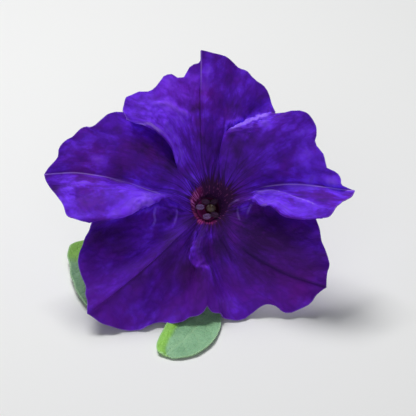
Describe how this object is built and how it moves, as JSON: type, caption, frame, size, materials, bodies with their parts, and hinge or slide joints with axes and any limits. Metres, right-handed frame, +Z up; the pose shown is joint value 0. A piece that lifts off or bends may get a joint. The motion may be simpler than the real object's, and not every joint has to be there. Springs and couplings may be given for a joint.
{
  "type": "petunia flower",
  "caption": "Violet ruffled trumpet flower with calyx, stamens and leaves on a short picked shoot, lying with its face turned up.",
  "frame": {"origin": "middle of the whole object's bounding box, on the surface that it lies on", "axes": "+Z up, -Y the side that the flower faces, +X at the flower's right as one looks into it"},
  "size_m": [0.0844, 0.1198, 0.0657],
  "materials": {
    "petal": "matte",
    "sepal": "matte",
    "filament": "matte",
    "anther": "matte",
    "pistil": "matte",
    "stigma": "satin",
    "stalk": "matte",
    "stem": "matte",
    "leaf": "matte"
  },
  "bodies": {
    "root": {"corolla": "petal", "sepal_1": "sepal", "sepal_2": "sepal", "sepal_3": "sepal", "sepal_4": "sepal", "sepal_5": "sepal", "filament_1": "filament", "filament_2": "filament", "filament_3": "filament", "filament_4": "filament", "filament_5": "filament", "anther_1": "anther", "anther_2": "anther", "anther_3": "anther", "anther_4": "anther", "anther_5": "anther", "ovary": "pistil", "style": "pistil", "stigma": "stigma", "pedicel": "stalk", "stem": "stem", "leaf_under": "leaf", "leaf_left": "leaf", "shoot_leaf_1": "leaf", "shoot_leaf_2": "leaf", "shoot_leaf_3": "leaf"}
  },
  "joints": []
}
